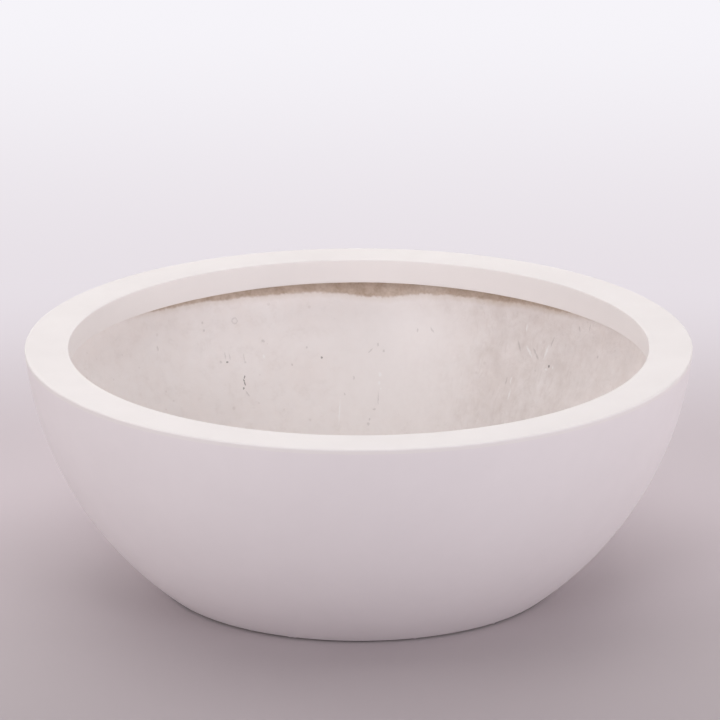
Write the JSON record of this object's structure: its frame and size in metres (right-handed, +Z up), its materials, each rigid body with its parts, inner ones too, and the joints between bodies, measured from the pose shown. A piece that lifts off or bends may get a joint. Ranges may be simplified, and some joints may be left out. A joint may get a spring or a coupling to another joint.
{
  "type": "bowl planter",
  "caption": "Low round planter bowl in glass-fibre laminate, with a wide flat rim, a turned-down inner lip, a flat base on rubber pads and a drain hole closed by a pull-out plug.",
  "frame": {"origin": "on the ground under the middle of the bowl, at the foot pads' lower faces", "axes": "+Z points up along the bowl's axis; +X points right and +Y away from the viewer in the picture"},
  "size_m": [0.7615, 0.7616, 0.279],
  "materials": {
    "white_gelcoat": "satin white painted gelcoat outside, hand-laid laminate under an off-white coat inside",
    "inside_coat": "brushed warm off-white coat over rough hand-laid laminate",
    "raw_laminate": "uncoated brown resin putty and glass fibre",
    "black_rubber": "matt moulded rubber"
  },
  "bodies": {
    "planter": {"bowl_shell": "white_gelcoat", "rim_ring": "white_gelcoat", "rim_bond_bead": "raw_laminate", "base_doubler": "inside_coat", "foot_pad_1": "black_rubber", "foot_pad_2": "black_rubber", "foot_pad_3": "black_rubber", "foot_pad_4": "black_rubber"},
    "plug": {"drain_plug": "black_rubber"}
  },
  "joints": [
    {"name": "plug_lift", "type": "slide", "parent": "planter", "child": "plug", "axis": [0, 0, 1], "range_m": [0, 0.3]}
  ]
}
